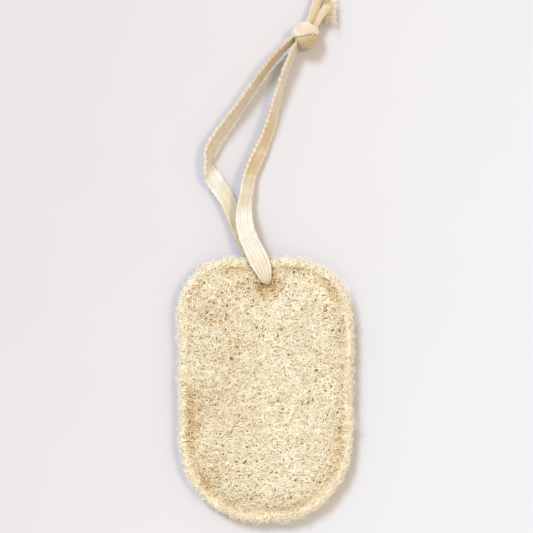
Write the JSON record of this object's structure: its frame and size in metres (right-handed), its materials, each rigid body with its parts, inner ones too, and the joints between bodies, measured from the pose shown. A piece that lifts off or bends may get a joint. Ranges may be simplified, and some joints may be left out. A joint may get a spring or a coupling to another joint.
{
  "type": "loofah back scrubber",
  "caption": "Oval pad of two stitched loofah layers with a knotted flat cotton tape threaded through a hole at one end as a hanging loop.",
  "frame": {"origin": "under the middle of the pad, on the surface that its back layer lies on", "axes": "+Y along the pad towards the hanging loop, +X to the right seen from the front, +Z out of the front layer, away from the surface"},
  "size_m": [0.1, 0.3018, 0.016],
  "materials": {
    "loofah": "dry, coarse, matte plant fibre mat",
    "thread": "matte sewing thread",
    "cotton_tape": "matte herringbone cotton tape"
  },
  "bodies": {
    "pad": {"front_loofah_layer": "loofah", "back_loofah_layer": "loofah", "needle_thread": "thread", "bobbin_thread": "thread"},
    "eyelet_tape": {"tape_in_eyelet": "cotton_tape"},
    "hanging_loop": {"front_strand": "cotton_tape", "back_strand": "cotton_tape", "knot": "cotton_tape", "left_tail": "cotton_tape", "right_tail": "cotton_tape"}
  },
  "joints": [
    {"name": "loop_sway", "type": "hinge", "parent": "pad", "child": "eyelet_tape", "pos_m": [0, 0.06, 0.008], "axis": [0, 0, 1], "range_deg": [-60, 20]},
    {"name": "loop_lift", "type": "hinge", "parent": "eyelet_tape", "child": "hanging_loop", "pos_m": [0, 0.0783, 0.0147], "axis": [1, 0, 0], "range_deg": [0, 120]}
  ]
}
